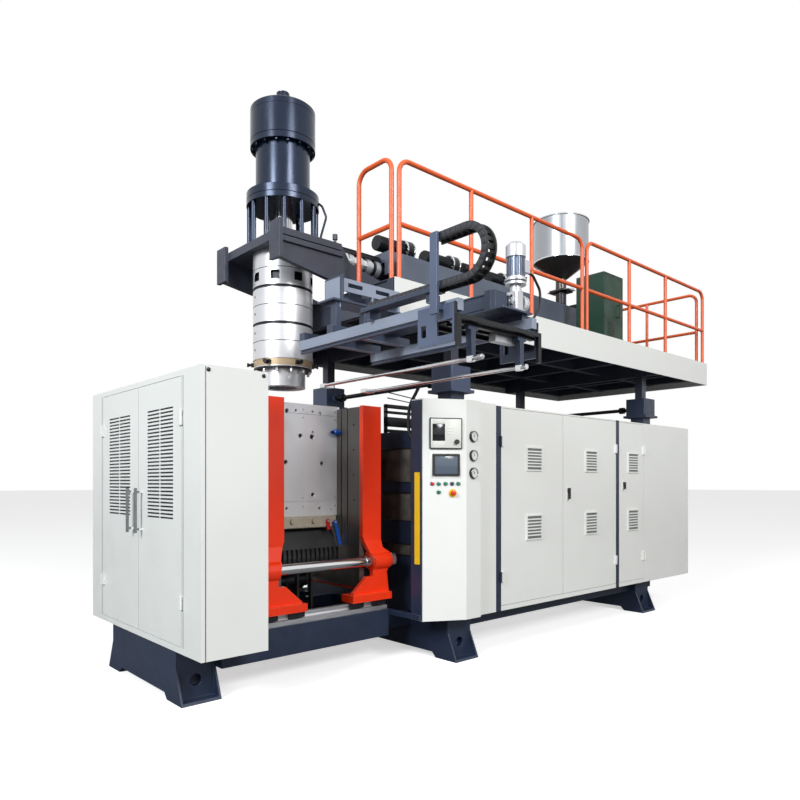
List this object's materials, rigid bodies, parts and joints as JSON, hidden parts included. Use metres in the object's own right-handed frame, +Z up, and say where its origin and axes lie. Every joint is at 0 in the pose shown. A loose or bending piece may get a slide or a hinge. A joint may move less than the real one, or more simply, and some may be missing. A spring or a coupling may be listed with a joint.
{
  "type": "extrusion blow moulding machine",
  "caption": "Accumulator-head blow moulding machine: sliding clamp, lifting extruder platform with handrails, take-out arm, louvred end cabinet and operator panel.",
  "frame": {"origin": "centre of the footprint, on the floor", "axes": "+Z up, +X along the machine from the clamp to the extruder drive, -Y towards the operator"},
  "size_m": [7.35, 3.955, 5.034],
  "materials": {
    "base": "satin",
    "panel": "satin",
    "platen": "gloss",
    "rails": "gloss",
    "steel": "brushed",
    "chromed": "polished",
    "dark_steel": "satin",
    "grey_blue": "satin",
    "carriage_grey": "satin",
    "black": "matte",
    "red": "gloss",
    "blue": "gloss",
    "green_paint": "satin",
    "green": "gloss",
    "iron": "satin"
  },
  "bodies": {
    "base": {"base_frame": "base", "lift_jacks": "grey_blue", "guide_rails": "steel", "clamp_rams": "iron", "drop_chute": "black", "left_cabinet": "panel", "control_cabinet": "panel", "operator_panel": "black", "electrical_cabinet": "panel", "clamp_guard": "base"},
    "right_clamp": {"right_platen": "platen", "right_platen_plate": "steel", "mould_right": "steel", "tie_bars": "chromed"},
    "left_clamp": {"left_platen": "platen", "left_platen_plate": "steel", "mould_left": "steel"},
    "lever_red": {"valve_lever_red": "red"},
    "lever_blue": {"valve_lever_blue": "blue"},
    "vent_front": {"vent_door_front": "panel"},
    "vent_rear": {"vent_door_rear": "panel"},
    "door_1": {"electrical_door_1": "panel"},
    "door_2": {"electrical_door_2": "panel"},
    "door_3": {"electrical_door_3": "panel"},
    "latch_2": {"door_latch_2": "black"},
    "latch_3": {"door_latch_3": "black"},
    "stop_button": {"emergency_stop": "red"},
    "knob": {"setting_knob": "black"},
    "shaft_left": {"lift_shaft_left": "dark_steel"},
    "shaft_right": {"lift_shaft_right": "dark_steel"},
    "platform": {"platform_frame": "carriage_grey", "platform_fascia": "panel", "handrails": "rails", "head_carriage": "carriage_grey", "accumulator_cylinder": "dark_steel", "head_body": "steel", "die": "steel", "barrel": "steel", "extruder_beams": "grey_blue", "blowers": "black", "extruder_drive": "iron", "hopper": "steel", "drive_cabinet": "green_paint", "takeout_frame": "grey_blue", "gearmotor": "dark_steel"},
    "melt_ram": {"ram": "steel"},
    "mandrel_rod": {"mandrel": "steel"},
    "extruder_screw": {"screw": "steel"},
    "gate": {"slide_gate": "steel"},
    "takeout": {"takeout_carriage": "grey_blue", "cable_chain": "black"},
    "wheel": {"drive_wheel": "steel"},
    "jaw_left": {"gripper_left": "steel"},
    "jaw_right": {"gripper_right": "steel"},
    "button_1": {"push_button_1": "red"},
    "button_2": {"push_button_2": "green"},
    "button_3": {"push_button_3": "green"},
    "button_4": {"push_button_4": "green"},
    "button_5": {"push_button_5": "green"},
    "button_6": {"push_button_6": "green"}
  },
  "joints": [
    {"name": "right_platen_slide", "type": "slide", "parent": "base", "child": "right_clamp", "axis": [1, 0, 0], "range_m": [0, 0.22]},
    {"name": "left_platen_slide", "type": "slide", "parent": "base", "child": "left_clamp", "axis": [-1, 0, 0], "range_m": [0, 0.22]},
    {"name": "red_lever_turn", "type": "hinge", "parent": "right_clamp", "child": "lever_red", "pos_m": [-2.069, 0.4445, 1.215], "axis": [0, 1, 0], "range_deg": [0, 90]},
    {"name": "blue_lever_turn", "type": "hinge", "parent": "right_clamp", "child": "lever_blue", "pos_m": [-2.007, 0.4445, 1.205], "axis": [0, 1, 0], "range_deg": [0, 90]},
    {"name": "vent_door_front_hinge", "type": "hinge", "parent": "base", "child": "vent_front", "pos_m": [-3.627, -0.0145, 1.355], "axis": [0, 0, 1], "range_deg": [0, 110]},
    {"name": "vent_door_rear_hinge", "type": "hinge", "parent": "base", "child": "vent_rear", "pos_m": [-3.627, 1.5645, 1.355], "axis": [0, 0, -1], "range_deg": [0, 110]},
    {"name": "electrical_door_1_hinge", "type": "hinge", "parent": "base", "child": "door_1", "pos_m": [-0.814, -0.4895, 1.312], "axis": [0, 0, -1], "range_deg": [0, 110]},
    {"name": "electrical_door_2_hinge", "type": "hinge", "parent": "base", "child": "door_2", "pos_m": [1.216, -0.4895, 1.312], "axis": [0, 0, 1], "range_deg": [0, 110]},
    {"name": "electrical_door_3_hinge", "type": "hinge", "parent": "base", "child": "door_3", "pos_m": [1.837, -0.4895, 1.312], "axis": [0, 0, 1], "range_deg": [0, 110]},
    {"name": "latch_2_turn", "type": "hinge", "parent": "door_2", "child": "latch_2", "pos_m": [0.258, -0.4875, 1.486], "axis": [0, 1, 0], "range_deg": [0, 90]},
    {"name": "latch_3_turn", "type": "hinge", "parent": "door_3", "child": "latch_3", "pos_m": [1.355, -0.4875, 1.548], "axis": [0, 1, 0], "range_deg": [0, 90]},
    {"name": "emergency_stop_press", "type": "slide", "parent": "base", "child": "stop_button", "axis": [0.4933, 0.8698, 0], "range_m": [0, 0.005], "stiffness_N_per_m": 1500, "springref_m": -0.002},
    {"name": "setting_knob_turn", "type": "hinge", "parent": "base", "child": "knob", "pos_m": [-1.415, -0.49945, 1.898], "axis": [-0.4933, -0.8698, 0], "range_deg": [-135, 135]},
    {"name": "platform_lift", "type": "slide", "parent": "base", "child": "platform", "axis": [0, 0, 1], "range_m": [0, 0.15]},
    {"name": "left_shaft_turn", "type": "hinge", "parent": "base", "child": "shaft_left", "pos_m": [-1.135, 0.7725, 2.48], "axis": [0, 1, 0], "continuous": true},
    {"name": "right_shaft_turn", "type": "hinge", "parent": "base", "child": "shaft_right", "pos_m": [2.335, 0.7725, 2.48], "axis": [0, 1, 0], "continuous": true},
    {"name": "melt_ram_stroke", "type": "slide", "parent": "platform", "child": "melt_ram", "axis": [0, 0, -1], "range_m": [0, 0.25]},
    {"name": "mandrel_stroke", "type": "slide", "parent": "platform", "child": "mandrel_rod", "axis": [0, 0, -1], "range_m": [0, 0.02]},
    {"name": "screw_turn", "type": "hinge", "parent": "platform", "child": "extruder_screw", "pos_m": [-2.025, 0.7725, 3.69], "axis": [1, 0, 0], "continuous": true},
    {"name": "slide_gate_pull", "type": "slide", "parent": "platform", "child": "gate", "axis": [0, -1, 0], "range_m": [0, 0.12]},
    {"name": "takeout_travel", "type": "slide", "parent": "platform", "child": "takeout", "axis": [0, 1, 0], "range_m": [0, 1]},
    {"name": "drive_wheel_turn", "type": "hinge", "parent": "platform", "child": "wheel", "pos_m": [-1.953, -1.5595, 2.757], "axis": [-1, 0, 0], "continuous": true},
    {"name": "right_jaw_close", "type": "slide", "parent": "takeout", "child": "jaw_right", "axis": [-1, 0, 0], "range_m": [0, 0.09]},
    {"name": "left_jaw_close", "type": "slide", "parent": "takeout", "child": "jaw_left", "axis": [1, 0, 0], "range_m": [0, 0.09]},
    {"name": "push_button_1_press", "type": "slide", "parent": "base", "child": "button_1", "axis": [0.4933, 0.8698, 0], "range_m": [0, 0.004], "stiffness_N_per_m": 800, "springref_m": -0.002},
    {"name": "push_button_2_press", "type": "slide", "parent": "base", "child": "button_2", "axis": [0.4933, 0.8698, 0], "range_m": [0, 0.004], "stiffness_N_per_m": 800, "springref_m": -0.002},
    {"name": "push_button_3_press", "type": "slide", "parent": "base", "child": "button_3", "axis": [0.4933, 0.8698, 0], "range_m": [0, 0.004], "stiffness_N_per_m": 800, "springref_m": -0.002},
    {"name": "push_button_4_press", "type": "slide", "parent": "base", "child": "button_4", "axis": [0.4933, 0.8698, 0], "range_m": [0, 0.004], "stiffness_N_per_m": 800, "springref_m": -0.002},
    {"name": "push_button_5_press", "type": "slide", "parent": "base", "child": "button_5", "axis": [0.4933, 0.8698, 0], "range_m": [0, 0.004], "stiffness_N_per_m": 800, "springref_m": -0.002},
    {"name": "push_button_6_press", "type": "slide", "parent": "base", "child": "button_6", "axis": [0.4933, 0.8698, 0], "range_m": [0, 0.004], "stiffness_N_per_m": 800, "springref_m": -0.002}
  ],
  "couplings": [
    {"joint": "left_platen_slide", "follows": "right_platen_slide", "ratio": 1},
    {"joint": "left_shaft_turn", "follows": "platform_lift", "rad_per_m": 200},
    {"joint": "right_shaft_turn", "follows": "platform_lift", "rad_per_m": 200},
    {"joint": "drive_wheel_turn", "follows": "takeout_travel", "rad_per_m": 17.857},
    {"joint": "left_jaw_close", "follows": "right_jaw_close", "ratio": 1}
  ]
}
